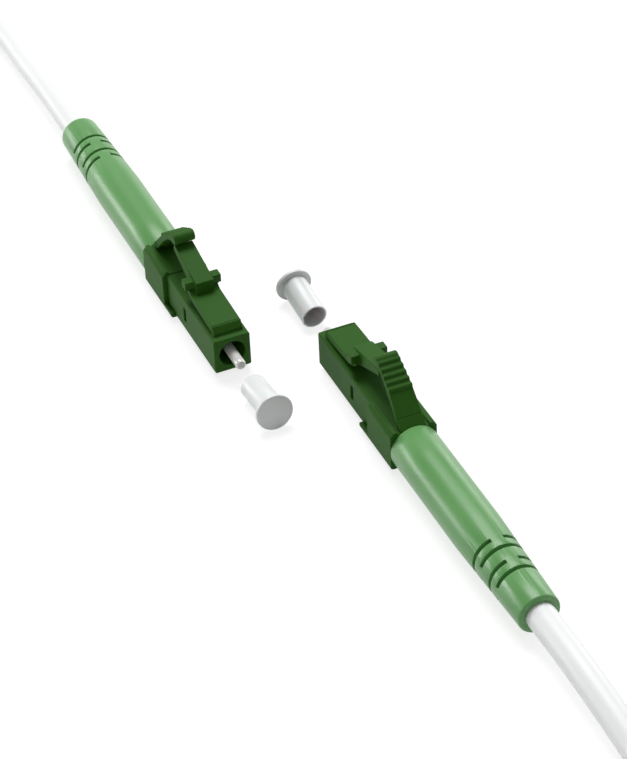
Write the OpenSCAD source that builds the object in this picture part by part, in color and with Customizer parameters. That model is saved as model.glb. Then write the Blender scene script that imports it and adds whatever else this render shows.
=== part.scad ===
// Fibre patch cord: one cable in an open loop with a latched plug on each end.
// Both plugs face each other with their dust caps taken off and lying in front of them.
// Millimetres, +Z up, origin on the table midway between the two nose faces.
// Each plug is drawn along its own axis: +X out of its nose, the nose face at x = 0.

/* [Layout] */
// Angle between the line of the plugs and the long side of the cable's loop
lay_angle = 20; // [15:1:25]
// Distance between the two plugs' centre lines
lane_gap = 11.46; // [9:0.1:14]
// Distance along the plugs from one nose face to the other
nose_gap = 3.56; // [1:0.1:5]

/* [Front housing] */
// Width and height of the square nose
nose_w = 4.5; // [4.3:0.05:4.8]
// Length of the nose in front of the rear housing
nose_l = 14.54; // [14:0.1:16]
// Rounding of the housing's long edges
edge_r = 0.25; // [0.1:0.05:0.4]
// Bore round the ferrule
nose_bore_d = 3.2; // [3.1:0.02:3.3]
// Depth of the nose bore down to the ferrule's stop
nose_bore_l = 6; // [5:0.1:7]
// Bore behind the stop, which holds the spring and the stop body
chamber_d = 3.5; // [3.4:0.05:3.6]
// Width of the tail that plugs into the rear housing
tail_w = 4.1; // [4:0.05:4.2]
// Length of that tail
tail_l = 3.9; // [3:0.1:4.2]
// Length of the snap window in each side wall
window_l = 0.7; // [0.4:0.1:1]
// Height of the snap window
window_h = 1.9; // [1:0.1:2.4]
// Place of the window's centre behind the nose face
window_x = 9.2; // [8.5:0.1:10]

/* [Latch arm] */
// Distance from the nose face to the arm's root block
latch_front = 0.9; // [0.6:0.1:1.2]
// Distance from the nose face to the arm's bending line
latch_root = 1.6; // [1.4:0.1:2]
// Width of the arm's front part
latch_w = 3.6; // [3.2:0.1:3.8]
// Height of the arm's front top edge above the nose
latch_h = 1.1; // [0.9:0.05:1.3]
// Rise of the front part's top over its length
latch_rise = 0.3; // [0.2:0.05:0.5]
// Place of the step up to the rear part, behind the nose face
step_x = 7.6; // [7.2:0.1:8]
// Height of the step
step_h = 1.5; // [1.3:0.05:1.6]
// Thickness of the front part at its step
latch_t = 0.75; // [0.6:0.05:0.9]
// Width of the arm's rear part
arm_w = 2.3; // [2:0.1:2.6]
// Thickness of the rear part at its end
arm_t = 1; // [0.8:0.05:1.2]
// Clearance between the rear part's end and the trigger's hook
arm_gap = 0.25; // [0.2:0.05:0.4]
// Place of the arm's end behind the nose face
arm_end = 14.4; // [13.8:0.1:14.8]
// Width over the two latching lugs
lug_w = 4.5; // [4.2:0.05:4.8]
// Length of a lug along the plug
lug_l = 1.2; // [0.9:0.1:1.4]
// Height of a lug
lug_h = 1.1; // [0.8:0.1:1.3]

/* [Rear housing] */
// Width of the rear housing
rear_w = 5.68; // [5.5:0.05:6]
// Height of the rear housing
rear_h = 4.72; // [4.7:0.02:5]
// Length of the rear housing
rear_l = 6.3; // [6:0.1:6.6]
// Height of the rear housing's underside above the table
rear_clear = 0.48; // [0.3:0.02:0.6]
// Rounding of the rear housing's long edges
rear_edge_r = 0.35; // [0.2:0.05:0.5]
// Width of the rail along each top edge
rail_w = 0.55; // [0.4:0.05:0.7]
// Height of the rails
rail_h = 0.3; // [0.2:0.05:0.4]
// Reach of the lower lip under the nose
lip_l = 2.2; // [1.6:0.1:2.6]
// Height of the lip's sides
lip_h = 0.65; // [0.5:0.05:0.9]
// Bore of the rear housing round the crimp sleeve
rear_bore_d = 4.25; // [4.15:0.05:4.3]

/* [Trigger arm] */
// Distance from the rear face to the trigger's bending line
trigger_root = 1; // [0.8:0.1:1.2]
// Width of the trigger at its root
trigger_root_w = 3; // [2.8:0.1:3.4]
// Width of the trigger at its tip
trigger_tip_w = 2.6; // [2.4:0.1:2.8]
// Height of the trigger's tip above the plug's axis
trigger_h = 8.1; // [7.9:0.05:8.3]
// Distance from the nose face to the trigger's tip
trigger_tip = 13.35; // [13.1:0.05:13.5]
// Thickness of the trigger's round tip
trigger_t = 1.3; // [1.1:0.05:1.4]
// Number of finger ribs
rib_count = 5; // [3:1:6]
// Radius of a rib
rib_r = 0.28; // [0.2:0.02:0.3]

/* [Ferrule] */
// Diameter of the ceramic ferrule
ferrule_d = 1.25; // [1.24:0.01:1.26]
// Diameter of its shank in the holder
ferrule_shank_d = 0.92; // [0.88:0.01:0.94]
// Distance that the ferrule stands out of the nose
ferrule_out = 2.65; // [2:0.05:3]
// Angle of the polished end face
polish_angle = 8; // [0:1:9]
// Length of the cone round the end face
ferrule_chamfer = 0.3; // [0.2:0.05:0.4]
// Depth of the ferrule in its holder
ferrule_seat = 3; // [2.5:0.1:3.2]
// Diameter of the holder's collar
collar_d = 3.42; // [3.36:0.02:3.46]
// Length of the collar
collar_l = 1.6; // [1.2:0.1:1.8]
// Diameter of the holder's tube
holder_d = 1.9; // [1.7:0.05:1.9]
// Length of the holder behind the nose bore's stop
holder_l = 5.6; // [5.2:0.1:5.8]
// Diameter of the buffered fibre
buffer_d = 0.9; // [0.6:0.05:1]
// Room behind the buffered fibre for the ferrule's travel
fibre_room = 1.7; // [1.4:0.1:2]

/* [Spring] */
// Wire diameter
wire_d = 0.28; // [0.24:0.02:0.32]
// Mean diameter of the coils
spring_d = 2.6; // [2.5:0.02:2.7]
// Number of turns
spring_turns = 6; // [5:1:7]

/* [Stop body and crimp] */
// Distance from the stop body's front to the nose's rear end
stop_in = 1.94; // [1.6:0.02:2.4]
// Length of the stop body inside the front housing
stop_l = 4; // [3:0.1:5]
// Diameter of the crimping tube
crimp_tube_d = 2.6; // [2.5:0.05:2.7]
// Length of the crimping tube
crimp_tube_l = 6.4; // [6:0.1:7]
// Bore through the stop body
stop_bore_d = 2; // [1.98:0.02:2.2]
// Wall of the crimp sleeve
sleeve_t = 0.32; // [0.25:0.01:0.33]
// Length of the sleeve over the tube
sleeve_front_l = 4; // [3:0.1:4.2]
// Length of the sleeve over the cable's jacket
sleeve_rear_l = 4; // [3:0.1:5]

/* [Boot] */
// Diameter of the boot at the housing
boot_front_d = 5.76; // [5.6:0.02:5.9]
// Diameter of the boot at the cable
boot_rear_d = 4.88; // [4.7:0.02:5]
// Length of the boot
boot_l = 30.05; // [28:0.1:34]
// Length of the taper at its rear
boot_taper_l = 14.4; // [10:0.2:20]
// Rounding of the boot's rear edge
boot_edge_r = 0.3; // [0.1:0.05:0.4]
// Width of a relief slot
slot_w = 0.5; // [0.36:0.02:0.6]
// Depth of a relief slot
slot_depth = 0.45; // [0.3:0.05:0.55]
// Angle that each slot covers round the boot
slot_angle = 150; // [130:2:160]
// Distance from the boot's rear face to its first slot
slot_start = 4.9; // [4:0.1:6]
// Distance between the two slots of a pair
slot_pitch = 1.45; // [1:0.05:1.7]
// Distance from one pair to the next
pair_pitch = 3.5; // [3.2:0.1:4]
// Number of pairs
pair_count = 2; // [1:1:4]

/* [Cable] */
// Outer diameter of the jacket
cable_d = 3.3; // [3:0.05:3.35]

/* [Dust cap] */
// Diameter of the cap's flange
cap_flange_d = 4.45; // [4.3:0.05:4.6]
// Thickness of the flange
cap_flange_t = 0.5; // [0.4:0.05:0.6]
// Diameter of the cap's tube
cap_tube_d = 3.15; // [3:0.05:3.2]
// Wall of the tube
cap_wall = 0.2; // [0.15:0.05:0.3]
// Length over all of the cap
cap_l = 6.4; // [6:0.1:7]
// Distance from the first plug's nose face to its cap's mouth
cap_a_x = 5.3; // [4.8:0.1:6]
// Distance from the second plug's nose face to its cap's mouth
cap_b_x = 7.4; // [6:0.1:8]
// Sideways place of the first cap from its plug's centre line
cap_a_y = 0.35; // [-0.5:0.05:0.5]
// Sideways place of the second cap from its plug's centre line
cap_b_y = -0.4; // [-0.5:0.05:0.5]

/* [Hidden] */
$fn = 48;
// Colours of the finishes
DARK_GREEN = "#2f5524";
BOOT_GREEN = "#5f9c5b";
CERAMIC = "#e9e9e6";
BRIGHT_METAL = "#b9bcc0";
SPRING_STEEL = "#8d9196";
CAP_WHITE = "#f1f2f2";
JACKET_WHITE = "#f4f5f5";
BUFFER_WHITE = "#e3e6e2";
// Overrun of every cut past the face that it opens
cut = 0.2;
// Clearance between pieces that are pushed together
seat = 0.01;
// Clearance between pieces that slide or turn
play = 0.05;
// Gap at a bending line, where the real arm is moulded on
flex_gap = 0.02;
// Heights and places that several pieces share
axis_h = boot_front_d / 2;
nose_top = nose_w / 2;
rear_x = nose_l + rear_l;
rear_low = axis_h - rear_clear;
rear_top = rear_h - rear_low;
holder_end = nose_bore_l + holder_l;
collar_end = nose_bore_l + collar_l;
stop_x = nose_l - stop_in;
tube_x = stop_x + stop_l;
tube_end = tube_x + crimp_tube_l;
sleeve_x = tube_end - sleeve_front_l;
sleeve_end = tube_end + sleeve_rear_l;
boot_x = rear_x + seat;
boot_end = boot_x + boot_l;
cable_in = tube_end + seat;
// The arm's front part: its top rises to the step, and its underside leaves the nose at the root
shelf_top = nose_top + latch_h;
step_top = shelf_top + latch_rise;
arm_top = step_top + step_h;
// Underside of the trigger's hook, which hangs over the arm's end
hook_low = trigger_h - trigger_t;
// Shares of the trigger's length behind its tip, and of its height, on its back and its underside
back_share = [0.6, 0.53];
belly_shares = [[0.12, 1.01], [0.275, 0.93], [0.43, 0.763], [0.62, 0.537], [0.84, 0.21]];
// Sides of the swept cable and the rings on each stretch between two points of its route
CABLE_SIDES = 8;
STRETCH_RINGS = 2;
// The cable's free route over the table, from the first plug round to the second
ROUTE = [[-66.3, -30.2, 2.3], [-74, -33, 2], [-81.7, -36, 1.8], [-88.6, -40.2, 1.7],
         [-93.3, -46.9, 1.7], [-94.5, -54.9, 1.7], [-91.7, -62.3, 1.7], [-86.2, -67.9, 1.7],
         [-78.6, -70.9, 1.7], [-66, -71.6, 1.7], [-48, -71.4, 1.7], [-29, -71, 1.7],
         [-10, -70.7, 1.7], [10, -70.6, 1.7], [29, -70.8, 1.7], [48, -71.1, 1.7], [64, -71.3, 1.7],
         [76, -70.3, 1.7], [86, -66.2, 1.7], [92.7, -59, 1.7], [95, -49, 1.7], [95.3, -37, 1.7],
         [95.1, -25, 1.7], [94.8, -13, 1.7], [94.8, -1, 1.7], [94.8, 11, 1.7], [93.6, 20, 1.7],
         [90.2, 26.8, 1.7], [84.9, 31.3, 1.7], [77.8, 32.9, 1.8], [69.8, 31.3, 2.1]];

// Rectangle with round corners, centred
module rounded_section(w, h, r) {
    union() {
        square([w - 2 * r, h], center = true);
        square([w, h - 2 * r], center = true);
        for (side = [-1, 1], end = [-1, 1])
            translate([side * (w / 2 - r), end * (h / 2 - r)])
                circle(r = r);
    }
}

// Extrudes a section in Y and Z backwards along -X, from a distance behind the nose face
module along_plug(from, length) {
    translate([-from, 0, 0])
        rotate([90, 0, -90])
            linear_extrude(length)
                children();
}

// Extrudes a side view in X and Z to a width centred on the plug
module across_plug(width) {
    rotate([90, 0, 0])
        linear_extrude(width, center = true)
            children();
}

// Round bar or hole on the plug's axis, from one distance behind the nose face to another
module on_axis(from, to, d) {
    translate([-to, 0, 0])
        rotate([0, 90, 0])
            cylinder(h = to - from, d = d);
}

// The moulded front housing: square nose, latch root, snap windows and a tail for the rear housing
module front_housing() {
    color(DARK_GREEN)
        difference() {
            union() {
                along_plug(0, nose_l)
                    rounded_section(nose_w, nose_w, edge_r);
                along_plug(nose_l - cut, tail_l + cut)
                    rounded_section(tail_w, tail_w, edge_r);
                across_plug(latch_w)
                    polygon([[-latch_front, nose_top - cut], [-latch_root, nose_top - cut],
                             [-latch_root, shelf_top], [-latch_root + cut, shelf_top],
                             [-latch_front, nose_top + latch_h / 3]]);
            }
            on_axis(-cut, nose_bore_l + cut, nose_bore_d);
            on_axis(nose_bore_l, nose_l + tail_l + cut, chamber_d);
            translate([-window_x, 0, 0])
                cube([window_l, nose_w + 2 * cut, window_h], center = true);
        }
}

// The latch arm, which bends down at its root to free its lugs from the socket
module latch_arm() {
    low = nose_top + play;
    lug_x = step_x + lug_l / 2;
    end_top = hook_low - arm_gap;
    color(DARK_GREEN)
        union() {
            across_plug(latch_w)
                polygon([[-latch_root - flex_gap, low], [-latch_root - flex_gap, shelf_top],
                         [-step_x, step_top], [-lug_x - lug_l, step_top + lug_h],
                         [-lug_x - lug_l, step_top + lug_h - arm_t],
                         [-step_x, step_top - latch_t]]);
            across_plug(arm_w)
                polygon([[-step_x, step_top - latch_t / 2], [-step_x, arm_top],
                         [-arm_end + 0.4 * arm_t, end_top], [-arm_end + 0.1 * arm_t, end_top - 0.12 * arm_t],
                         [-arm_end, end_top - 0.35 * arm_t], [-arm_end, end_top - 0.95 * arm_t],
                         [-arm_end + 0.4 * arm_t, end_top - arm_t], [-lug_x - lug_l, step_top]]);
            translate([-lug_x - lug_l / 2, 0, arm_top - lug_h / 2])
                cube([lug_l, lug_w, lug_h], center = true);
        }
}

// The rear housing, which closes the plug, carries the trigger and cups the nose from below
module rear_housing() {
    color(DARK_GREEN)
        difference() {
            union() {
                along_plug(nose_l + seat, rear_l - seat)
                    rear_section();
                along_plug(nose_l - lip_l, lip_l + 2 * seat)
                    intersection() {
                        rear_section();
                        translate([0, lip_h / 2 - rear_low])
                            square([rear_w, lip_h], center = true);
                    }
                for (side = [-1, 1])
                    along_plug(nose_l + seat, rear_l - seat)
                        translate([side * (rear_w / 2 - rear_edge_r - rail_w / 2), rear_top])
                            square([rail_w, 2 * rail_h], center = true);
                across_plug(trigger_root_w)
                    polygon([[-rear_x, rear_top - cut], [-rear_x, rear_top + rail_h],
                             [-rear_x + trigger_root, rear_top + trigger_root + rail_h],
                             [-rear_x + trigger_root, rear_top - cut]]);
            }
            along_plug(nose_l - lip_l - cut, lip_l + cut + seat)
                rounded_section(nose_w + 2 * seat, nose_w + 2 * seat, edge_r);
            along_plug(nose_l - cut, tail_l + cut + play)
                rounded_section(tail_w + 2 * seat, tail_w + 2 * seat, edge_r);
            on_axis(nose_l, rear_x + cut, rear_bore_d);
        }
}

// Outline of the rear housing across the plug
module rear_section() {
    translate([0, rear_top - rear_h / 2])
        rounded_section(rear_w, rear_h, rear_edge_r);
}

// The finger trigger, which bends down at its root and pushes the latch arm's end
module trigger_arm() {
    root_x = rear_x - trigger_root - flex_gap;
    low = rear_top + play;
    high = rear_top + trigger_root + rail_h;
    tip_r = trigger_t / 2;
    tip_x = trigger_tip + tip_r;
    run = root_x - tip_x;
    back = [-tip_x - back_share[0] * run, high + back_share[1] * (trigger_h - high)];
    belly = [for (s = belly_shares) [-tip_x - s[0] * run, low + s[1] * (hook_low - low)]];
    color(DARK_GREEN)
        intersection() {
            union() {
                across_plug(trigger_root_w)
                    polygon(concat([[-root_x, high], back, [-tip_x, trigger_h]],
                                   smooth(concat([[-tip_x, hook_low]], belly, [[-root_x, low]]), 3)));
                translate([-tip_x, 0, trigger_h - tip_r])
                    rotate([90, 0, 0])
                        cylinder(h = trigger_root_w, r = tip_r, center = true);
                for (i = [1 : rib_count])
                    translate([-tip_x + (back[0] + tip_x) * i / rib_count, 0,
                               trigger_h + (back[1] - trigger_h) * i / rib_count - rib_r / 3])
                        rotate([90, 0, 0])
                            cylinder(h = trigger_root_w, r = rib_r, center = true);
            }
            linear_extrude(trigger_h + 2 * rib_r)
                polygon([[-root_x, -trigger_root_w / 2], [-root_x, trigger_root_w / 2],
                         [-trigger_tip, trigger_tip_w / 2], [-trigger_tip, -trigger_tip_w / 2]]);
        }
}

// The ceramic ferrule, with a cone and an angled face on its tip and a thinner shank in its holder
module ferrule() {
    shoulder = nose_bore_l - 2 * play;
    color(CERAMIC)
        difference() {
            union() {
                on_axis(-ferrule_out + ferrule_chamfer, shoulder, ferrule_d);
                on_axis(shoulder - cut, nose_bore_l + ferrule_seat, ferrule_shank_d);
                translate([ferrule_out - ferrule_chamfer, 0, 0])
                    rotate([0, 90, 0])
                        cylinder(h = ferrule_chamfer, d1 = ferrule_d, d2 = ferrule_d - ferrule_chamfer);
            }
            translate([ferrule_out, 0, 0])
                rotate([0, -polish_angle, 0])
                    translate([0, -ferrule_d, -ferrule_d])
                        cube(2 * ferrule_d);
        }
}

// The metal holder, whose collar stops against the nose bore and is pushed by the spring
module ferrule_holder() {
    color(BRIGHT_METAL)
        difference() {
            union() {
                on_axis(nose_bore_l + seat, collar_end, collar_d);
                on_axis(collar_end - cut, holder_end, holder_d);
            }
            on_axis(nose_bore_l - cut, nose_bore_l + ferrule_seat + seat, ferrule_shank_d + 2 * seat);
            on_axis(nose_bore_l, holder_end + cut, buffer_d + 2 * seat);
        }
}

// A closed tube swept along points, with its sides set square to the path
module swept_tube(points, radius, sides) {
    last = len(points) - 1;
    function heading(i) = let (d = points[min(i + 1, last)] - points[max(i - 1, 0)]) d / norm(d);
    function sideways(t) = let (s = cross([0, 0, 1], t)) s / norm(s);
    rings = [for (i = [0 : last])
        let (t = heading(i), s = sideways(t), u = cross(t, s))
            for (k = [0 : sides - 1])
                points[i] + radius * (cos(360 * k / sides) * s + sin(360 * k / sides) * u)];
    polyhedron(points = rings, faces = concat(
        [[for (k = [0 : sides - 1]) k]],
        [for (i = [0 : last - 1], k = [0 : sides - 1], half = [0, 1])
            let (near = i * sides, far = near + sides, next = (k + 1) % sides)
                half == 0 ? [near + k, far + k, far + next] : [near + k, far + next, near + next]],
        [[for (k = [sides - 1 : -1 : 0]) last * sides + k]]));
}

// The coil spring between the holder's collar and the stop body
module ferrule_spring() {
    per_turn = 10;
    steps = spring_turns * per_turn;
    run = stop_x - collar_end - wire_d - 2 * seat;
    color(SPRING_STEEL)
        swept_tube([for (i = [0 : steps])
            [-collar_end - seat - wire_d / 2 - run * i / steps,
             spring_d / 2 * cos(360 * i / per_turn), spring_d / 2 * sin(360 * i / per_turn)]],
            wire_d / 2, 6);
}

// The buffered fibre behind the ferrule, which moves with it
module fibre_buffer() {
    color(BUFFER_WHITE)
        on_axis(nose_bore_l + ferrule_seat + 2 * seat, tube_end - fibre_room, buffer_d);
}

// The metal stop body: it backs the spring, and its tube takes the crimp
module stop_body() {
    color(BRIGHT_METAL)
        difference() {
            union() {
                on_axis(stop_x, tube_x, chamber_d - 2 * seat);
                on_axis(tube_x - cut, tube_end, crimp_tube_d);
            }
            on_axis(stop_x - cut, tube_end + cut, stop_bore_d);
        }
}

// The crimp sleeve: narrow over the tube, wide over the jacket
module crimp_sleeve() {
    tube_bore = crimp_tube_d + 2 * seat;
    jacket_bore = cable_d + 2 * seat;
    color(BRIGHT_METAL)
        difference() {
            union() {
                on_axis(sleeve_x, tube_end, tube_bore + 2 * sleeve_t);
                on_axis(tube_end - sleeve_t, sleeve_end, jacket_bore + 2 * sleeve_t);
            }
            on_axis(sleeve_x - cut, tube_end + cut, tube_bore);
            on_axis(tube_end, sleeve_end + cut, jacket_bore);
        }
}

// The strain relief boot, with slots that let its rear end bend
module boot() {
    front_r = boot_front_d / 2;
    rear_r = boot_rear_d / 2;
    pocket_r = cable_d / 2 + sleeve_t + seat + play;
    bore_r = cable_d / 2 + play;
    color(BOOT_GREEN)
        difference() {
            translate([-boot_x, 0, 0])
                rotate([0, -90, 0])
                    rotate_extrude()
                        polygon([[bore_r, 0], [front_r, 0], [front_r, boot_l - boot_taper_l],
                                 [rear_r, boot_l - boot_edge_r],
                                 [rear_r - boot_edge_r / 3, boot_l - boot_edge_r / 3],
                                 [rear_r - boot_edge_r, boot_l], [bore_r, boot_l]]);
            on_axis(boot_x - cut, sleeve_end + play, 2 * pocket_r);
            for (pair = [0 : pair_count - 1], half = [0, 1])
                relief_slots(boot_end - slot_start - pair * pair_pitch - half * slot_pitch,
                             90 * half, rear_r - slot_depth);
        }
}

// Two opposite slots round the boot, at a distance behind the nose face
module relief_slots(from, turn, inner_r) {
    for (side = [0, 180])
        translate([-from, 0, 0])
            rotate([0, -90, 0])
                rotate([0, 0, turn + side - slot_angle / 2])
                    rotate_extrude(angle = slot_angle)
                        translate([inner_r, -slot_w / 2])
                            square([boot_front_d, slot_w]);
}

// A dust cap: a thin closed tube with a flange, mouth at x = 0 and flange towards +X
module dust_cap() {
    neck = cap_l - cap_flange_t;
    color(CAP_WHITE)
        difference() {
            rotate([0, 90, 0])
                rotate_extrude()
                    polygon([[0, 0], [cap_tube_d / 2, 0], [cap_tube_d / 2, neck - cap_flange_t],
                             [cap_tube_d / 2 + cap_flange_t / 2, neck], [cap_flange_d / 2, neck],
                             [cap_flange_d / 2, cap_l], [0, cap_l]]);
            on_axis(-(neck - cap_flange_t), cut, cap_tube_d - 2 * cap_wall);
        }
}

// A cap as it lies: tipped until its mouth and its flange both touch the table
module lying_cap(from, side) {
    tilt = asin((cap_flange_d - cap_tube_d) / 2 / norm([cap_l - cap_flange_t,
                                                        (cap_flange_d - cap_tube_d) / 2]));
    translate([from, side, -axis_h])
        rotate([0, -tilt, 0])
            translate([0, 0, cap_tube_d / 2])
                dust_cap();
}

// Where the first plug lies, and the second one turned half round
module end_a() {
    rotate([0, 0, lay_angle])
        translate([-nose_gap / 2, -lane_gap / 2, axis_h])
            children();
}
module end_b() {
    rotate([0, 0, 180])
        end_a()
            children();
}

// A point on the first plug's axis, and its twin on the second plug
function point_a(from) = let (x = -nose_gap / 2 - from, y = -lane_gap / 2)
    [x * cos(lay_angle) - y * sin(lay_angle), x * sin(lay_angle) + y * cos(lay_angle), axis_h];
function point_b(from) = let (p = point_a(from)) [-p[0], -p[1], p[2]];

// A smooth curve through points: each stretch leans on its neighbours
function between(a, b, c, d, t) = (2 * b + (c - a) * t + (2 * a - 5 * b + 4 * c - d) * t * t
    + (3 * b - a - 3 * c + d) * t * t * t) / 2;
function smooth(p, n) = concat(
    [for (i = [0 : len(p) - 2], k = [0 : n - 1])
        between(p[max(i - 1, 0)], p[i], p[i + 1], p[min(i + 2, len(p) - 1)], k / n)],
    [p[len(p) - 1]]);

// The cable: out of the first boot, round its open loop and into the second boot
module cable() {
    inside = [cable_in, (cable_in + boot_end) / 2, boot_end, boot_end + 3 * cable_d];
    path = concat([for (x = inside) point_a(x)], ROUTE,
                  [for (i = [len(inside) - 1 : -1 : 0]) point_b(inside[i])]);
    color(JACKET_WHITE)
        swept_tube(smooth(path, STRETCH_RINGS), cable_d / 2, CABLE_SIDES);
}

module front_housing_a() end_a() front_housing();
module latch_arm_a() end_a() latch_arm();
module rear_housing_a() end_a() rear_housing();
module trigger_arm_a() end_a() trigger_arm();
module ferrule_a() end_a() ferrule();
module ferrule_holder_a() end_a() ferrule_holder();
module ferrule_spring_a() end_a() ferrule_spring();
module fibre_buffer_a() end_a() fibre_buffer();
module stop_body_a() end_a() stop_body();
module crimp_sleeve_a() end_a() crimp_sleeve();
module boot_a() end_a() boot();
module dust_cap_a() end_a() lying_cap(cap_a_x, cap_a_y);
module front_housing_b() end_b() front_housing();
module latch_arm_b() end_b() latch_arm();
module rear_housing_b() end_b() rear_housing();
module trigger_arm_b() end_b() trigger_arm();
module ferrule_b() end_b() ferrule();
module ferrule_holder_b() end_b() ferrule_holder();
module ferrule_spring_b() end_b() ferrule_spring();
module fibre_buffer_b() end_b() fibre_buffer();
module stop_body_b() end_b() stop_body();
module crimp_sleeve_b() end_b() crimp_sleeve();
module boot_b() end_b() boot();
module dust_cap_b() end_b() lying_cap(cap_b_x, cap_b_y);

front_housing_a();
latch_arm_a();
rear_housing_a();
trigger_arm_a();
ferrule_a();
ferrule_holder_a();
ferrule_spring_a();
fibre_buffer_a();
stop_body_a();
crimp_sleeve_a();
boot_a();
dust_cap_a();
front_housing_b();
latch_arm_b();
rear_housing_b();
trigger_arm_b();
ferrule_b();
ferrule_holder_b();
ferrule_spring_b();
fibre_buffer_b();
stop_body_b();
crimp_sleeve_b();
boot_b();
dust_cap_b();
cable();
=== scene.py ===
"""Fibre patch cord: two latched plugs face to face, their dust caps off, on one looped cable.

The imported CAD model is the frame. This script softens the mouldings' edges, models the boots,
ferrules, dust caps and the cable anew, gives every piece its finish, and sets up the camera and
the light.
"""

import logging
import math
from dataclasses import dataclass, field
from enum import Enum
from typing import Any, Iterable, Optional, Sequence

import bmesh
import bpy
from mathutils import Matrix, Vector


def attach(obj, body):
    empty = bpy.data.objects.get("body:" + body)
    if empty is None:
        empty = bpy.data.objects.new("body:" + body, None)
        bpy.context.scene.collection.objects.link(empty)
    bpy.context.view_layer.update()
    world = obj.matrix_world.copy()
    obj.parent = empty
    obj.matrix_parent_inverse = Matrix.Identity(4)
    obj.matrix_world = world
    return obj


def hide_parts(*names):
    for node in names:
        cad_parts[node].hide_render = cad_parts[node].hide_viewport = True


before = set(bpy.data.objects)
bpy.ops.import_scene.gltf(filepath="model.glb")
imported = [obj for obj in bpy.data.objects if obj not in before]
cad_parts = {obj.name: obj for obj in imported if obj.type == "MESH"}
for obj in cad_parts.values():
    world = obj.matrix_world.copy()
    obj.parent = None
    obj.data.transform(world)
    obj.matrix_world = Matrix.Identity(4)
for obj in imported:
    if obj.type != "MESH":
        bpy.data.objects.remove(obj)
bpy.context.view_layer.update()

LOG = logging.getLogger("patch_cord")
MM = 0.001
MERGE_MM = 1e-4
ROUND_SEGMENTS = 2
Point = tuple[float, float, float]
Colour = tuple[float, float, float, float]
WHITE: Colour = (1.0, 1.0, 1.0, 1.0)


class End(Enum):
    """The two ends of the cord."""

    A = "a"
    B = "b"


class Slot(Enum):
    """The record's material slots."""

    HOUSING = "green_housing"
    BOOT = "green_boot"
    CERAMIC = "ceramic"
    PLATED = "nickel_metal"
    SPRING = "spring_steel"
    BUFFER = "buffer"
    CAP = "cap_plastic"
    JACKET = "jacket"


def linear(hex_colour: str) -> Colour:
    """Turns an sRGB hex colour to linear light.

    Args:
        hex_colour: Six hex digits after a hash sign.

    Returns:
        Red, green, blue and an alpha of 1.
    """
    parts = [int(hex_colour[i:i + 2], 16) / 255 for i in (1, 3, 5)]
    red, green, blue = (
        p / 12.92 if p <= 0.04045 else ((p + 0.055) / 1.055) ** 2.4 for p in parts
    )
    return red, green, blue, 1.0


def add_node(
    tree: bpy.types.NodeTree,
    kind: str,
    settings: Optional[dict[str, Any]] = None,
    links: Optional[dict[Any, bpy.types.NodeSocket]] = None,
) -> bpy.types.Node:
    """Adds one shader node.

    Args:
        tree: The node tree.
        kind: The node's type name.
        settings: Values by attribute name, or by input name or number.
        links: Output sockets to link, by input name or number.

    Returns:
        The new node.
    """
    node = tree.nodes.new(kind)
    for key, value in (settings or {}).items():
        if isinstance(key, str) and hasattr(node, key):
            setattr(node, key, value)
        else:
            node.inputs[key].default_value = value
    for key, socket in (links or {}).items():
        tree.links.new(socket, node.inputs[key])
    return node


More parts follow.
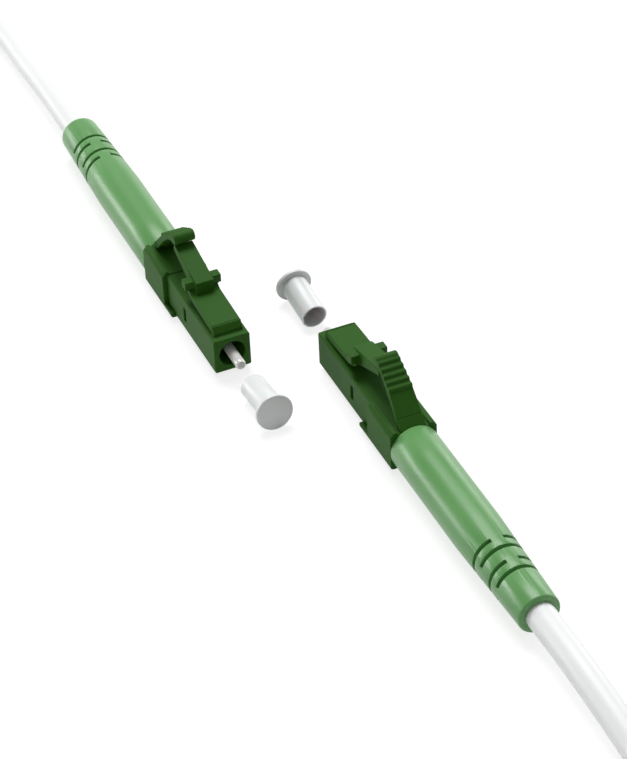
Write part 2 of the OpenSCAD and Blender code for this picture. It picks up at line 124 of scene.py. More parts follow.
@dataclass(frozen=True)
class Finish:
    """A real material and the surface that its making leaves.

    Attributes:
        name: The material's common name and how its surface was made.
        colour: Its sRGB colour.
        drift: The colour that it drifts to in broad soft patches.
        roughness: Middle of its roughness.
        rough_drift: How far the roughness wanders from patch to patch.
        ior: Index of refraction.
        specular: Share of the IOR's reflection, where 0.5 is all of it.
        metallic: 1 for a metal.
        patch_mm: Size of the broad patches.
        grain_mm: Size of the fine surface grain.
        grain_depth_mm: Height of that grain.
        subsurface: Share of light that passes under the surface.
        subsurface_mm: How deep it passes.
        sheen: Weight of the soft sheen on rubbery surfaces.
        painted_shade_mm: Reach of the painted shade that darkens the colour inside the piece's
        own hollows, 0 for none.
    """

    name: str
    colour: str
    drift: str
    roughness: float
    rough_drift: float = 0.05
    ior: float = 1.5
    specular: float = 0.5
    metallic: float = 0.0
    patch_mm: float = 6.0
    grain_mm: float = 0.2
    grain_depth_mm: float = 0.003
    subsurface: float = 0.0
    subsurface_mm: float = 0.5
    sheen: float = 0.0
    painted_shade_mm: float = 0.0

    def build(self) -> bpy.types.Material:
        """Makes the material with its nodes.

        Returns:
            The Blender material.
        """
        material = bpy.data.materials.new(self.name)
        material.use_nodes = True
        tree = material.node_tree
        tree.nodes.clear()
        place = add_node(tree, "ShaderNodeTexCoord").outputs["Object"]
        patches, grain = (
            add_node(
                tree, "ShaderNodeTexNoise",
                {"Scale": 1 / (size * MM), "Detail": detail, "Roughness": rough},
                {"Vector": place},
            ).outputs["Fac"]
            for size, detail, rough in ((self.patch_mm, 3.0, 0.55), (self.grain_mm, 2.0, 0.6))
        )
        colour = add_node(
            tree, "ShaderNodeMix",
            {"data_type": "RGBA", 6: linear(self.colour), 7: linear(self.drift)},
            {0: patches},
        ).outputs[2]
        # Painted shade: ambient occlusion darkens the base colour inside the piece's own hollows.
        if self.painted_shade_mm:
            colour = add_node(
                tree, "ShaderNodeAmbientOcclusion",
                {"only_local": True, "Distance": self.painted_shade_mm * MM}, {"Color": colour},
            ).outputs["Color"]
        roughness = add_node(
            tree, "ShaderNodeMapRange",
            {"From Min": 0.3, "From Max": 0.7, "To Min": self.roughness - self.rough_drift,
             "To Max": self.roughness + self.rough_drift},
            {"Value": patches},
        ).outputs["Result"]
        bump = add_node(
            tree, "ShaderNodeBump",
            {"Strength": 1.0, "Distance": self.grain_depth_mm * MM},
            {"Height": grain},
        ).outputs["Normal"]
        shader = add_node(
            tree, "ShaderNodeBsdfPrincipled",
            {"Metallic": self.metallic, "IOR": self.ior, "Specular IOR Level": self.specular,
             "Subsurface Weight": self.subsurface,
             "Subsurface Scale": self.subsurface_mm * MM,
             "Sheen Weight": self.sheen},
            {"Base Color": colour, "Roughness": roughness, "Normal": bump},
        )
        add_node(tree, "ShaderNodeOutputMaterial", None, {"Surface": shader.outputs["BSDF"]})
        return material


# Glass-filled PBT, injection moulded in a spark-eroded tool: a dark green, nearly matt, whose
# broad flats pick up a little grey sheen from the light above, with fine even grain.
PBT_MOULDED = Finish(
    name="pbt_moulded_dark_green", colour="#26560c", drift="#2a5c0f",
    roughness=0.62, rough_drift=0.03, ior=1.5, specular=0.18, patch_mm=5.0, grain_mm=0.16,
    grain_depth_mm=0.002,
)
# Thermoplastic elastomer, injection moulded: a mid green, satin and slightly soft to the eye.
ELASTOMER_MOULDED = Finish(
    name="elastomer_moulded_green", colour="#5f9956", drift="#65a05c",
    roughness=0.34, rough_drift=0.03, ior=1.49, specular=0.5, patch_mm=9.0, grain_mm=0.25,
    grain_depth_mm=0.002, sheen=0.05,
)
# Zirconia, ground and lapped: a warm white ceramic with a tight bright highlight.
ZIRCONIA_GROUND = Finish(
    name="zirconia_ground_white", colour="#e9e9e6", drift="#dededb",
    roughness=0.16, rough_drift=0.03, ior=2.1, patch_mm=2.0, grain_mm=0.08,
    grain_depth_mm=0.0005, subsurface=0.05,
)
# Brass, turned and nickel plated: a bright slightly warm metal.
BRASS_NICKEL_PLATED = Finish(
    name="brass_nickel_plated", colour="#c9c6bf", drift="#bdbab2",
    roughness=0.24, rough_drift=0.05, metallic=1.0, patch_mm=3.0, grain_mm=0.1,
    grain_depth_mm=0.0008,
)
# Stainless spring wire, drawn: a greyer metal with a duller shine.
SPRING_WIRE_DRAWN = Finish(
    name="spring_wire_drawn_stainless", colour="#a6a9ac", drift="#94979b",
    roughness=0.32, rough_drift=0.06, metallic=1.0, patch_mm=1.5, grain_mm=0.08,
    grain_depth_mm=0.0008,
)
# Polyester buffer over the fibre, extruded: an off-white with a low shine.
BUFFER_EXTRUDED = Finish(
    name="polyester_buffer_extruded", colour="#e3e6e2", drift="#d9ddd8",
    roughness=0.4, ior=1.5, patch_mm=4.0, grain_mm=0.15, grain_depth_mm=0.001,
)
# Low density polyethylene, moulded thin: milky white and waxy; painted shade darkens it deep
# inside the tube.
POLYETHYLENE_MOULDED = Finish(
    name="polyethylene_moulded_white", colour="#eef0f0", drift="#e6e8e8",
    roughness=0.34, rough_drift=0.04, ior=1.51, patch_mm=3.0, grain_mm=0.15,
    grain_depth_mm=0.001, subsurface=0.12, painted_shade_mm=1.7,
)
# Halogen-free jacket compound, extruded over the fibre: white with a broad soft shine.
JACKET_EXTRUDED = Finish(
    name="jacket_compound_extruded_white", colour="#f8f9f9", drift="#f3f4f4",
    roughness=0.42, rough_drift=0.04, ior=1.5, patch_mm=8.0, grain_mm=0.3,
    grain_depth_mm=0.002,
)


@dataclass(frozen=True)
class Layout:
    """How the two plugs lie, in mm and degrees.

    Attributes:
        lay_angle: Angle from the loop's long side to the line of the plugs.
        lane_gap: Distance between the plugs' centre lines.
        nose_gap: Distance along the plugs from nose face to nose face.
        axis_h: Height of a plug's axis over the table.
    """

    lay_angle: float = 20.0
    lane_gap: float = 11.46
    nose_gap: float = 3.56
    axis_h: float = 2.88

    def place(self, end: End) -> Matrix:
        """Gives the matrix from a plug's own millimetres to the row frame in metres.

        Args:
            end: Which plug.

        Returns:
            The matrix.
        """
        turn = self.lay_angle + (180 if end is End.B else 0)
        return (
            Matrix.Scale(MM, 4)
            @ Matrix.Rotation(math.radians(turn), 4, "Z")
            @ Matrix.Translation((-self.nose_gap / 2, -self.lane_gap / 2, self.axis_h))
        )

    def axis_point(self, end: End, behind: float) -> Vector:
        """Gives a point on a plug's axis, in metres.

        Args:
            end: Which plug.
            behind: Distance behind the nose face, in mm.

        Returns:
            The point in the row frame.
        """
        return self.place(end) @ Vector((-behind, 0, 0))


def spin_profile(
    profile: Sequence[tuple[float, float]], steps: int, closed: bool,
) -> bmesh.types.BMesh:
    """Turns a profile about the plug's axis.

    Args:
        profile: Points as place along the axis and radius, in mm.
        steps: Number of steps round.
        closed: Whether the last point joins the first.

    Returns:
        The turned mesh, with its poles closed and its faces outwards.
    """
    bm = bmesh.new()
    verts = [bm.verts.new((x, 0, r)) for x, r in profile]
    pairs = list(zip(verts, verts[1:])) + ([(verts[-1], verts[0])] if closed else [])
    edges = [bm.edges.new(pair) for pair in pairs]
    bmesh.ops.spin(
        bm, geom=verts + edges, cent=(0, 0, 0), axis=(1, 0, 0), angle=math.tau,
        steps=steps, use_merge=True, use_duplicate=False,
    )
    bmesh.ops.remove_doubles(bm, verts=bm.verts[:], dist=MERGE_MM)
    bmesh.ops.recalc_face_normals(bm, faces=bm.faces[:])
    return bm


def bevel_edges(
    bm: bmesh.types.BMesh, edges: Iterable[bmesh.types.BMEdge], width: float,
) -> None:
    """Rounds edges.

    Args:
        bm: The mesh.
        edges: The edges to round.
        width: Width of the rounding.
    """
    bmesh.ops.bevel(
        bm, geom=list(edges), offset=width, offset_type="OFFSET", affect="EDGES",
        segments=ROUND_SEGMENTS, profile=0.5, material=-1, clamp_overlap=False,
    )


def sharp_edges(bm: bmesh.types.BMesh, angle: float) -> list[bmesh.types.BMEdge]:
    """Finds the edges whose faces meet at more than an angle.

    Args:
        bm: The mesh.
        angle: The angle in degrees.

    Returns:
        The edges.
    """
    limit = math.radians(angle)
    return [e for e in bm.edges if len(e.link_faces) == 2 and e.calc_face_angle(0.0) > limit]


@dataclass
class Dresser:
    """Turns meshes into named pieces with their finish, body and slot.

    Attributes:
        materials: One material for each slot.
        count: Number of pieces dressed so far.
    """

    materials: dict[Slot, bpy.types.Material] = field(default_factory=dict)
    count: int = 0

    def add(self, slot: Slot, finish: Finish) -> None:
        """Builds a slot's material from its finish."""
        self.materials[slot] = finish.build()

    def piece(
        self, bm: bmesh.types.BMesh, name: str, place: Matrix, body: str, slot: Slot,
        node: str, smooth_angle: float = 35.0,
    ) -> bpy.types.Object:
        """Makes a piece that stands for a CAD node.

        Args:
            bm: The mesh, which is freed.
            name: The piece's name.
            place: Matrix into the row frame.
            body: The CAD body that it rides on.
            slot: Its material slot.
            node: The CAD node that it stands for.
            smooth_angle: Edges sharper than this stay sharp, in degrees.

        Returns:
            The object.
        """
        bm.transform(place)
        mesh = bpy.data.meshes.new(name)
        bm.to_mesh(mesh)
        bm.free()
        mesh.polygons.foreach_set("use_smooth", [True] * len(mesh.polygons))
        mesh.set_sharp_from_angle(angle=math.radians(smooth_angle))
        obj = bpy.data.objects.new(name, mesh)
        bpy.context.scene.collection.objects.link(obj)
        mesh.materials.append(self.materials[slot])
        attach(obj, body)
        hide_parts(node)
        self.count += 1
        LOG.info("%s: %d faces, rides on %s", name, len(mesh.polygons), body)
        return obj

    def carry_over(self, node: str, slot: Slot) -> None:
        """Gives a CAD node that stays its finish.

        Args:
            node: The node's name.
            slot: Its material slot.
        """
        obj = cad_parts[node]
        obj.data.materials.clear()
        obj.data.materials.append(self.materials[slot])
        self.count += 1
        LOG.info("%s: carried over with %s", node, slot.value)


@dataclass
class SoftenedMoulding:
    """A housing or an arm from its CAD node, with the edges that a mould rounds.

    Attributes:
        node: The CAD node.
        body: The body that it rides on.
        edge: Width of the rounding, in mm.
        weld: Points of the CAD's loose triangles within this distance are one, in mm.
        flat_angle: Faces within this angle are one flat, in degrees.
        sharp_angle: Edges sharper than this are rounded, in degrees.
    """

    node: str
    body: str
    edge: float = 0.09
    weld: float = 1e-3
    flat_angle: float = 0.4
    sharp_angle: float = 26.0

    def build(self, dresser: Dresser) -> bpy.types.Object:
        """Makes the piece.

        Args:
            dresser: Gives it its finish.

        Returns:
            The object.
        """
        bm = bmesh.new()
        bm.from_mesh(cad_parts[self.node].data)
        bmesh.ops.scale(bm, vec=(1 / MM,) * 3, verts=bm.verts[:])
        bmesh.ops.remove_doubles(bm, verts=bm.verts[:], dist=self.weld)
        bmesh.ops.dissolve_limit(
            bm, angle_limit=math.radians(self.flat_angle), use_dissolve_boundaries=False,
            verts=bm.verts[:], edges=bm.edges[:], delimit=set(),
        )
        bevel_edges(bm, sharp_edges(bm, self.sharp_angle), self.edge)
        bmesh.ops.remove_doubles(bm, verts=bm.verts[:], dist=MERGE_MM)
        obj = dresser.piece(
            bm, f"{self.node}_moulding", Matrix.Scale(MM, 4), self.body, Slot.HOUSING, self.node,
        )
        obj.modifiers.new("even_flats", "WEIGHTED_NORMAL").keep_sharp = True
        return obj


@dataclass
class Boot:
    """The strain relief boot: a long taper with two pairs of relief slots near its rear.

    Attributes:
        front_x: Distance of its front face behind the nose face, in mm.
        length: Its length.
        front_r: Radius at the housing.
        rear_r: Radius at the cable.
        taper_l: Length of the taper at its rear.
        bore_r: Radius of the bore round the cable.
        pocket_r: Radius of the pocket round the crimp sleeve.
        pocket_end: Distance of the pocket's end behind the nose face.
        front_edge: Rounding of the front rim.
        rear_edge: Rounding of the rear rim.
        slot_w: Width of a slot.
        slot_r: Radius of a slot's floor.
        slot_centres: Distances of the slots behind the nose face.
        slot_half_angle: Half the angle that a slot covers, in degrees.
        slot_edge: Rounding of a slot's rim.
        rim_angle: An edge sharper than this near a slot is its rim, in degrees.
        skin: Depth under the rear radius within which a face or edge is on the outside.
        rings: Distances of rings of points behind the front face.
        rear_steps: Steps round the rear rim.
        steps: Steps round.
    """

    front_x: float = 20.85
    length: float = 30.05
    front_r: float = 2.88
    rear_r: float = 2.44
    taper_l: float = 14.4
    bore_r: float = 1.7
    pocket_r: float = 2.03
    pocket_end: float = 27.05
    front_edge: float = 0.12
    rear_edge: float = 0.3
    slot_w: float = 0.5
    slot_r: float = 1.99
    slot_centres: tuple[float, ...] = (46.0, 44.55, 42.5, 41.05)
    slot_half_angle: float = 75.0
    slot_edge: float = 0.05
    rim_angle: float = 60.0
    skin: tuple[float, float] = (0.1, 0.05)
    rings: tuple[float, ...] = (5.0, 10.0, 14.6, 15.65, 16.7)
    rear_steps: int = 4
    steps: int = 120

    def radius(self, behind: float) -> float:
        """Gives the outer radius at a distance behind the nose face, in mm."""
        start = self.front_x + self.length - self.taper_l
        share = max((behind - start) / (self.taper_l - self.rear_edge), 0.0)
        return self.front_r + (self.rear_r - self.front_r) * share

    def profile(self) -> list[tuple[float, float]]:
        """Lists the closed profile from the bore's front round the outside to the bore's rear.

        Returns:
            Places along the axis and radii, in mm.
        """
        end = self.front_x + self.length
        drop = 0.3 * self.front_edge
        outer = [self.front_x + self.front_edge * 0.3, self.front_x + self.front_edge]
        outer += [self.front_x + d for d in self.rings]
        for centre in sorted(self.slot_centres):
            outer += [centre - self.slot_w / 2, centre, centre + self.slot_w / 2]
        points = [(-self.front_x, self.pocket_r),
                  (-self.front_x, self.front_r - self.front_edge)]
        points.append((-outer[0], self.radius(outer[0]) - drop))
        points += [(-place, self.radius(place)) for place in outer[1:]]
        for k in range(self.rear_steps + 1):
            turn = math.radians(90 * k / self.rear_steps)
            points.append((-(end - self.rear_edge + self.rear_edge * math.sin(turn)),
                           self.rear_r - self.rear_edge + self.rear_edge * math.cos(turn)))
        points += [(-end, self.bore_r), (-self.pocket_end, self.bore_r),
                   (-self.pocket_end, self.pocket_r)]
        return points

    def build(self, end: End, layout: Layout, dresser: Dresser) -> bpy.types.Object:
        """Makes the piece.

        Args:
            end: Which plug.
            layout: Where the plugs lie.
            dresser: Gives it its finish.

        Returns:
            The object.
        """
        bm = spin_profile(self.profile(), self.steps, closed=True)
        for number, centre in enumerate(self.slot_centres):
            self.cut_slots(bm, centre, 90.0 * (number % 2))
        bmesh.ops.recalc_face_normals(bm, faces=bm.faces[:])
        return dresser.piece(
            bm, f"boot_{end.value}_turned", layout.place(end), "cord", Slot.BOOT,
            f"boot_{end.value}",
        )

    def cut_slots(self, bm: bmesh.types.BMesh, centre: float, turn: float) -> None:
        """Sinks two opposite slots into the outside.

        Args:
            bm: The boot's mesh.
            centre: Distance of the slots behind the nose face, in mm.
            turn: 0 for slots at the top and bottom, 90 for the sides, in degrees.
        """
        face_skin, rim_skin = self.skin
        chosen = []
        for face in bm.faces:
            spot = face.calc_center_median()
            inner = math.hypot(spot.y, spot.z) < self.rear_r - face_skin
            if inner or abs(-spot.x - centre) > self.slot_w / 2:
                continue
            angle = (math.degrees(math.atan2(spot.y, spot.z)) - turn) % 180
            if min(angle, 180 - angle) < self.slot_half_angle:
                chosen.append(face)
        sunk = bmesh.ops.extrude_face_region(bm, geom=chosen)["geom"]
        bmesh.ops.delete(bm, geom=chosen, context="FACES")
        for vert in (g for g in sunk if isinstance(g, bmesh.types.BMVert)):
            share = self.slot_r / math.hypot(vert.co.y, vert.co.z)
            vert.co.y *= share
            vert.co.z *= share
        rim = [e for e in sharp_edges(bm, self.rim_angle)
               if abs(-(e.verts[0].co.x + e.verts[1].co.x) / 2 - centre) < self.slot_w
               and min(math.hypot(v.co.y, v.co.z) for v in e.verts) > self.rear_r - rim_skin]
        bevel_edges(bm, rim, self.slot_edge)


@dataclass
class Ferrule:
    """The ceramic ferrule: a ground rod with a cone and an angled face at its tip.

    Attributes:
        radius: Its radius, in mm.
        out: How far it stands out of the nose.
        shoulder: Distance of its shoulder behind the nose face.
        shank_r: Radius behind the shoulder, inside the holder.
        rear: Distance of its rear end behind the nose face.
        cone: Length of the cone at the tip.
        edge: Chamfer of the shoulder.
        rear_edge: Chamfer of the rear end.
        polish: Angle of the end face, in degrees.
        steps: Steps round.
    """

    radius: float = 0.625
    out: float = 2.65
    shoulder: float = 5.9
    shank_r: float = 0.46
    rear: float = 9.0
    cone: float = 0.3
    edge: float = 0.05
    rear_edge: float = 0.1
    polish: float = 8.0
    steps: int = 64

    def build(self, end: End, layout: Layout, dresser: Dresser) -> bpy.types.Object:
        """Makes the piece.

        Args:
            end: Which plug.
            layout: Where the plugs lie.
            dresser: Gives it its finish.

        Returns:
            The object.
        """
        face_r = self.radius - self.cone / 2
        profile = [
            (self.out, 0), (self.out, face_r), (self.out - self.cone, self.radius),
            (self.out - self.cone - self.rear_edge, self.radius),
            (self.edge - self.shoulder, self.radius), (-self.shoulder, self.radius - self.edge),
            (-self.shoulder, self.shank_r), (self.rear_edge - self.rear, self.shank_r),
            (-self.rear, self.shank_r - self.rear_edge), (-self.rear, 0),
        ]
        bm = spin_profile(profile, self.steps, closed=False)
        slant = math.radians(self.polish)
        normal = Vector((math.cos(slant), 0, math.sin(slant)))
        made = bmesh.ops.bisect_plane(
            bm, geom=bm.verts[:] + bm.edges[:] + bm.faces[:], dist=1e-5,
            plane_co=(self.out, 0, 0), plane_no=normal, clear_outer=True,
        )
        rim = [g for g in made["geom_cut"] if isinstance(g, bmesh.types.BMEdge)]
        bmesh.ops.holes_fill(bm, edges=rim, sides=0)
        bmesh.ops.recalc_face_normals(bm, faces=bm.faces[:])
        return dresser.piece(
            bm, f"ferrule_{end.value}_ground", layout.place(end), f"ferrule_{end.value}",
            Slot.CERAMIC, f"ferrule_{end.value}",
        )


@dataclass
class DustCap:
    """A dust cap: a thin tube, closed by a flange, lying tipped on its mouth and flange.

    Attributes:
        mouth_x: Distance of its mouth in front of each nose face, in mm.
        side_y: Its place sideways from the plug's centre line.
        tube_r: Outer radius of the tube.
        wall: Wall of the tube.
        length: Length over all.
        flange_r: Radius of the flange.
        flange_t: Thickness of the flange.
        ring: Distance from the mouth of a ring of points on both sides of the wall.
        neck_fillet: Size of the fillet where the tube meets the flange.
        floor_fillet: Size of the chamfer at the inside's end.
        steps: Steps round.
    """

    mouth_x: dict[End, float] = field(default_factory=lambda: {End.A: 5.3, End.B: 7.4})
    side_y: dict[End, float] = field(default_factory=lambda: {End.A: 0.35, End.B: -0.4})
    tube_r: float = 1.575
    wall: float = 0.2
    length: float = 6.4
    flange_r: float = 2.225
    flange_t: float = 0.5
    ring: float = 2.0
    neck_fillet: float = 0.25
    floor_fillet: float = 0.2
    steps: int = 72

    def profile(self) -> list[tuple[float, float]]:
        """Lists the profile from the flange's centre round the mouth to the inside's end.

        Returns:
            Places along the axis and radii, in mm.
        """
        neck = self.length - self.flange_t
        round_r = self.flange_t * 0.28
        inset = 0.3 * round_r
        waist = 0.08
        lip = self.wall * 0.3
        bore_r = self.tube_r - self.wall
        floor = neck - self.flange_t
        return [
            (self.length, 0), (self.length, self.flange_r - round_r),
            (self.length - inset, self.flange_r - inset),
            (self.length - round_r, self.flange_r), (neck + round_r, self.flange_r),
            (neck + inset, self.flange_r - inset), (neck, self.flange_r - round_r),
            (neck, self.tube_r + self.neck_fillet), (neck - waist, self.tube_r + waist),
            (neck - self.neck_fillet, self.tube_r), (self.ring, self.tube_r), (lip, self.tube_r),
            (0, self.tube_r - lip), (0, bore_r + lip), (lip, bore_r), (self.ring, bore_r),
            (floor - self.floor_fillet, bore_r), (floor, bore_r - self.floor_fillet), (floor, 0),
        ]

    def build(self, end: End, layout: Layout, dresser: Dresser) -> bpy.types.Object:
        """Makes the piece.

        Args:
            end: Which plug.
            layout: Where the plugs lie.
            dresser: Gives it its finish.

        Returns:
            The object.
        """
        bm = spin_profile(self.profile(), self.steps, closed=False)
        drop = self.flange_r - self.tube_r
        tilt = math.asin(drop / math.hypot(self.length - self.flange_t, drop))
        lie = (
            Matrix.Translation((self.mouth_x[end], self.side_y[end], -layout.axis_h))
            @ Matrix.Rotation(-tilt, 4, "Y")
            @ Matrix.Translation((0, 0, self.tube_r))
        )
        return dresser.piece(
            bm, f"dust_cap_{end.value}_moulded", layout.place(end) @ lie, "cord", Slot.CAP,
            f"dust_cap_{end.value}",
        )


@dataclass
class Cable:
    """The jacketed cable: out of the first boot, round an open loop and into the second.

    Attributes:
        radius: Its radius, in mm.
        inside: Distances behind each nose face of the points inside and just behind a boot.
        boot_end: Distance of the boots' rear faces behind the nose faces; not used.
        route: The free route over the table, in mm of the row frame.
        rings: Points made on each stretch of the route.
        sides: Number that sets the roundness of the tube.
    """

    radius: float = 1.65
    inside: tuple[float, ...] = (23.01, 36.955, 50.9, 60.8)
    boot_end: float = 50.9
    route: tuple[Point, ...] = (
        (-66.3, -30.2, 2.3), (-74, -33, 2), (-81.7, -36, 1.8), (-88.6, -40.2, 1.7),
        (-93.3, -46.9, 1.7), (-94.5, -54.9, 1.7), (-91.7, -62.3, 1.7), (-86.2, -67.9, 1.7),
        (-78.6, -70.9, 1.7), (-66, -71.6, 1.7), (-48, -71.4, 1.7), (-29, -71, 1.7),
        (-10, -70.7, 1.7), (10, -70.6, 1.7), (29, -70.8, 1.7), (48, -71.1, 1.7),
        (64, -71.3, 1.7), (76, -70.3, 1.7), (86, -66.2, 1.7), (92.7, -59, 1.7),
        (95, -49, 1.7), (95.3, -37, 1.7), (95.1, -25, 1.7), (94.8, -13, 1.7),
        (94.8, -1, 1.7), (94.8, 11, 1.7), (93.6, 20, 1.7), (90.2, 26.8, 1.7),
        (84.9, 31.3, 1.7), (77.8, 32.9, 1.8), (69.8, 31.3, 2.1),
    )
    rings: int = 8
    sides: int = 12

    def line(self, layout: Layout) -> list[Vector]:
        """Gives the smooth centre line through the route, in metres.

        Args:
            layout: Where the plugs lie.

        Returns:
            Points in the row frame.
        """
        knots = [layout.axis_point(End.A, d) for d in self.inside]
        knots += [Vector(p) * MM for p in self.route]
        knots += [layout.axis_point(End.B, d) for d in reversed(self.inside)]
        last = len(knots) - 1
        points = []
        for i in range(last):
            a, b, c, d = (knots[min(max(j, 0), last)] for j in (i - 1, i, i + 1, i + 2))
            for k in range(self.rings):
                t = k / self.rings
                points.append((2 * b + (c - a) * t + (2 * a - 5 * b + 4 * c - d) * t * t
                               + (3 * b - a - 3 * c + d) * t * t * t) / 2)
        return points + [knots[-1]]

    def build(self, layout: Layout, dresser: Dresser) -> bpy.types.Object:
        """Args:
            layout: Where the plugs lie.
            dresser: Gives it its finish.

        Returns:
            The object.
        """
        points = self.line(layout)
        curve = bpy.data.curves.new("cable_jacket", "CURVE")
        curve.dimensions = "3D"
        curve.bevel_depth = self.radius * MM
        curve.bevel_resolution = self.sides
        curve.use_fill_caps = True
        spline = curve.splines.new("POLY")
        spline.points.add(len(points) - 1)
        for knot, point in zip(spline.points, points):
            knot.co = (*point, 1.0)
        spline.use_smooth = True
        curve.materials.append(dresser.materials[Slot.JACKET])
        obj = bpy.data.objects.new("cable_jacket", curve)
        bpy.context.scene.collection.objects.link(obj)
        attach(obj, "cord")
        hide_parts("cable")
        dresser.count += 1
        return obj


@dataclass
class Plug:
    """One plug: the mouldings, the ferrule, the metal inside, the boot and the dust cap.

    Attributes:
        end: Which plug it is.
        boot: Its boot.
        ferrule: Its ferrule.
        cap: Its dust cap.
    """

    end: End
    boot: Boot = field(default_factory=Boot)
    ferrule: Ferrule = field(default_factory=Ferrule)
    cap: DustCap = field(default_factory=DustCap)

    def build(self, layout: Layout, dresser: Dresser) -> None:
        """Makes and dresses all of the plug's pieces.

        Args:
            layout: Where the plugs lie.
            dresser: Gives them their finish.
        """
        e = self.end.value
        for part, body in (("front_housing", "cord"), ("rear_housing", "cord"),
                           ("latch_arm", f"latch_{e}"), ("trigger_arm", f"trigger_{e}")):
            SoftenedMoulding(f"{part}_{e}", body).build(dresser)
        self.boot.build(self.end, layout, dresser)
        self.ferrule.build(self.end, layout, dresser)
        self.cap.build(self.end, layout, dresser)
        for part, slot in (("ferrule_holder", Slot.PLATED), ("ferrule_spring", Slot.SPRING),
                           ("fibre_buffer", Slot.BUFFER), ("stop_body", Slot.PLATED),
                           ("crimp_sleeve", Slot.PLATED)):
            dresser.carry_over(f"{part}_{e}", slot)


@dataclass(frozen=True)
class Lamp:
    """A soft rectangular lamp.

    Attributes:
        name: Its name.
        spot: Where it hangs, in metres.
        size: Its width and height, in metres.
        power: Its power in watts.
        aim: The point that it faces.
    """

    name: str
    spot: Point
    size: tuple[float, float]
    power: float
    aim: Point = (0.0, 0.0, 0.0)

    def build(self) -> None:
        """Hangs the lamp."""
        data = bpy.data.lights.new(self.name, "AREA")
        data.shape = "RECTANGLE"
        data.size, data.size_y = self.size
        data.energy = self.power
        obj = bpy.data.objects.new(self.name, data)
        obj.location = self.spot
        obj.rotation_euler = (
            (Vector(self.aim) - Vector(self.spot)).to_track_quat("-Z", "Y").to_euler()
        )
        bpy.context.scene.collection.objects.link(obj)


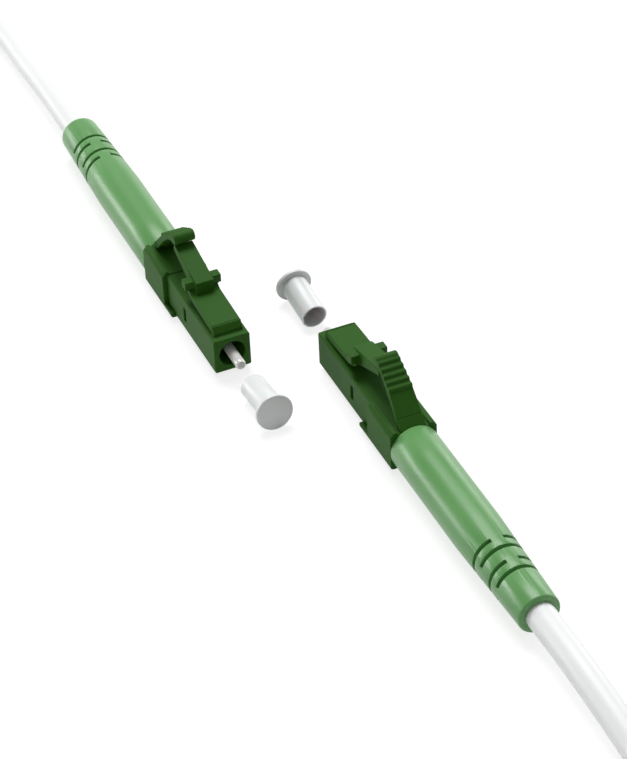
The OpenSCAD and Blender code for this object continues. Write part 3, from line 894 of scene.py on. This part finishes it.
@dataclass
class Studio:
    """The table, the light and the camera.

    Attributes:
        lens: Focal length of the camera, in mm.
        sensor: Width of its sensor, in mm.
        clip: The nearest and farthest distances that it sees, in metres.
        camera_spot: Where the camera stands, in metres.
        camera_axes: Its right, up and backward directions.
        floor_half: Half the side of the table, in metres.
        floor_gap_mm: How far it lies under the object, so that their faces never meet.
        floor_colour: Colour of the table as the light that it returns sees it.
        shade_colour: Colour of the part of the table that the seen rays see shadows on.
        floor_glow: Strength of the white that they see besides.
        world_level: Strength of the even light from all round.
        haze: Heights of a view's direction, between 0 and 1, from which and to which the white
            background fades into that even light.
        lamps: The lamps.
    """

    lens: float = 165.94
    sensor: float = 36.0
    clip: tuple[float, float] = (0.01, 20.0)
    camera_spot: Point = (0.26269, -0.00638, 0.20600)
    camera_axes: tuple[Point, Point, Point] = (
        (0.06654, 0.99705, -0.03839), (-0.61767, 0.07138, 0.78319), (0.78361, -0.02840, 0.62060),
    )
    floor_half: float = 4.0
    floor_gap_mm: float = 0.02
    floor_colour: str = "#dedfdf"
    shade_colour: str = "#9b9b9b"
    floor_glow: float = 0.78
    world_level: float = 0.27
    haze: tuple[float, float] = (0.14, 0.5)
    lamps: tuple[Lamp, ...] = (
        Lamp("softbox_back", (-0.42, -0.04, 0.86), (0.62, 0.44), 7.4),
        Lamp("softbox_left", (-0.34, -0.66, 0.08), (0.45, 0.14), 1.5),
        Lamp("softbox_right", (-0.56, 0.42, 0.20), (0.40, 0.26), 1.1),
    )

    def build_camera(self) -> None:
        """Places the camera where the photograph was taken from."""
        data = bpy.data.cameras.new("camera")
        data.sensor_fit = "HORIZONTAL"
        data.sensor_width = self.sensor
        data.lens = self.lens
        data.clip_start, data.clip_end = self.clip
        obj = bpy.data.objects.new("camera", data)
        axes = Matrix(self.camera_axes).transposed().to_4x4()
        obj.matrix_world = Matrix.Translation(self.camera_spot) @ axes
        bpy.context.scene.collection.objects.link(obj)
        bpy.context.scene.camera = obj

    def build_floor(self) -> None:
        """Lays the pale table, white to the camera, with the object's soft shadow on it."""
        bm = bmesh.new()
        bmesh.ops.create_grid(bm, x_segments=2, y_segments=2, size=self.floor_half)
        bmesh.ops.translate(bm, vec=(0, 0, -self.floor_gap_mm * MM), verts=bm.verts[:])
        mesh = bpy.data.meshes.new("table")
        bm.to_mesh(mesh)
        bm.free()
        table = bpy.data.objects.new("table", mesh)
        bpy.context.scene.collection.objects.link(table)
        material = bpy.data.materials.new("paper_white")
        material.use_nodes = True
        tree = material.node_tree
        tree.nodes.clear()
        plain = add_node(tree, "ShaderNodeBsdfDiffuse", {"Color": linear(self.floor_colour)})
        shade = add_node(tree, "ShaderNodeBsdfDiffuse", {"Color": linear(self.shade_colour)})
        glow = add_node(tree, "ShaderNodeEmission", {"Color": WHITE, "Strength": self.floor_glow})
        bright = add_node(tree, "ShaderNodeAddShader", None,
                          {0: shade.outputs[0], 1: glow.outputs[0]})
        mix = add_node(tree, "ShaderNodeMixShader", None,
                       {0: self.seen_rays(tree), 1: plain.outputs[0], 2: bright.outputs[0]})
        add_node(tree, "ShaderNodeOutputMaterial", None, {"Surface": mix.outputs[0]})
        mesh.materials.append(material)

    @staticmethod
    def seen_rays(tree: bpy.types.NodeTree) -> bpy.types.NodeSocket:
        """Tells the rays that see the white background from the rays that carry the light.

        Args:
            tree: The node tree.

        Returns:
            A socket that is 1 for camera, glossy and transmission rays.
        """
        rays = add_node(tree, "ShaderNodeLightPath")
        first = add_node(tree, "ShaderNodeMath", {"operation": "MAXIMUM"},
                         {0: rays.outputs["Is Camera Ray"], 1: rays.outputs["Is Glossy Ray"]})
        return add_node(tree, "ShaderNodeMath", {"operation": "MAXIMUM"},
                        {0: first.outputs[0], 1: rays.outputs["Is Transmission Ray"]}).outputs[0]

    def build_world(self) -> None:
        """Makes the even light from all round, with a white background near the horizon."""
        world = bpy.data.worlds.new("studio")
        bpy.context.scene.world = world
        world.use_nodes = True
        tree = world.node_tree
        tree.nodes.clear()
        even, white = (
            add_node(tree, "ShaderNodeBackground", {"Color": WHITE, "Strength": strength})
            for strength in (self.world_level, 1.0)
        )
        split = add_node(tree, "ShaderNodeSeparateXYZ", None,
                         {0: add_node(tree, "ShaderNodeTexCoord").outputs["Generated"]})
        fade = add_node(
            tree, "ShaderNodeMapRange",
            {"From Min": self.haze[0], "From Max": self.haze[1], "To Min": 1.0, "To Max": 0.0},
            {"Value": split.outputs["Z"]},
        )
        share = add_node(tree, "ShaderNodeMath", {"operation": "MULTIPLY"},
                         {0: self.seen_rays(tree), 1: fade.outputs[0]})
        mix = add_node(tree, "ShaderNodeMixShader", None,
                       {0: share.outputs[0], 1: even.outputs[0], 2: white.outputs[0]})
        add_node(tree, "ShaderNodeOutputWorld", None, {"Surface": mix.outputs[0]})

    def build(self) -> None:
        """Sets up the whole studio except the camera."""
        self.build_floor()
        self.build_world()
        for lamp in self.lamps:
            lamp.build()
        bpy.context.scene.view_settings.view_transform = "Standard"


def main() -> None:
    """Builds the camera, the cable, both plugs and the studio."""
    logging.basicConfig(level=logging.INFO, format="%(message)s")
    layout, studio, dresser = Layout(), Studio(), Dresser()
    for slot, finish in (
        (Slot.HOUSING, PBT_MOULDED), (Slot.BOOT, ELASTOMER_MOULDED),
        (Slot.CERAMIC, ZIRCONIA_GROUND), (Slot.PLATED, BRASS_NICKEL_PLATED),
        (Slot.SPRING, SPRING_WIRE_DRAWN), (Slot.BUFFER, BUFFER_EXTRUDED),
        (Slot.CAP, POLYETHYLENE_MOULDED), (Slot.JACKET, JACKET_EXTRUDED),
    ):
        dresser.add(slot, finish)
    studio.build_camera()
    Cable().build(layout, dresser)
    for end in End:
        Plug(end).build(layout, dresser)
    studio.build()
    LOG.info("%d pieces dressed", dresser.count)


if __name__ == "__main__":
    main()
